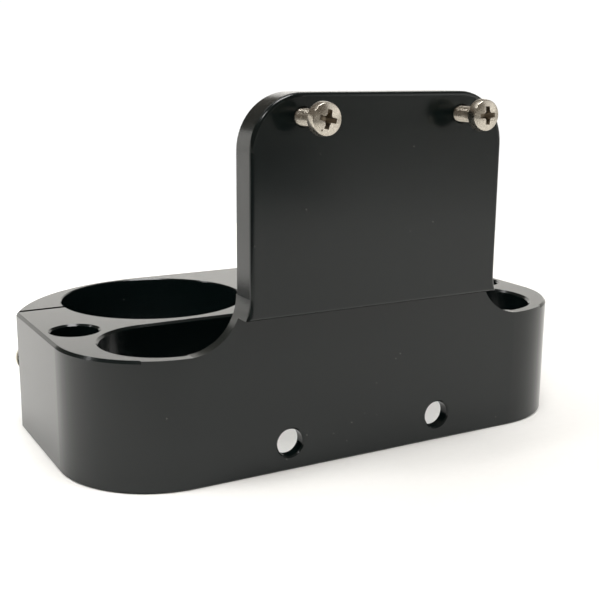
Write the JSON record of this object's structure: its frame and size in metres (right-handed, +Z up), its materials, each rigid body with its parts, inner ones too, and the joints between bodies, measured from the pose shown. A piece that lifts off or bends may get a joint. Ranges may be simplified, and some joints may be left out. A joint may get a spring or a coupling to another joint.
{
  "type": "tube clamp mounting block",
  "caption": "Black anodised billet mounting block with split tube clamp bores, a long open slot and an upright device plate fitted with small pan head screws.",
  "frame": {"origin": "centre of the block's footprint, on its flat underside", "axes": "+X along the block's length, +Y from the plate towards the clamp bores at the rear, +Z up along the bore axes"},
  "size_m": [0.144, 0.1061, 0.091],
  "materials": {
    "block": "satin black anodised, machined",
    "screw": "plain passivated stainless"
  },
  "bodies": {
    "block": {"block": "block"},
    "plate_screw_left": {"plate_screw_left": "screw"},
    "plate_screw_right": {"plate_screw_right": "screw"},
    "clamp_screw_left": {"clamp_screw_left": "screw"},
    "clamp_screw_right": {"clamp_screw_right": "screw"}
  },
  "joints": [
    {"name": "plate_screw_left_travel", "type": "slide", "parent": "block", "child": "plate_screw_left", "axis": [0, 1, 0], "range_m": [-0.007, 0.008]},
    {"name": "plate_screw_right_travel", "type": "slide", "parent": "block", "child": "plate_screw_right", "axis": [0, 1, 0], "range_m": [-0.0075, 0.0071]},
    {"name": "clamp_screw_left_travel", "type": "slide", "parent": "block", "child": "clamp_screw_left", "axis": [0, -1, 0], "range_m": [-0.009, 0.005]},
    {"name": "clamp_screw_right_travel", "type": "slide", "parent": "block", "child": "clamp_screw_right", "axis": [0, -1, 0], "range_m": [-0.009, 0.005]}
  ]
}
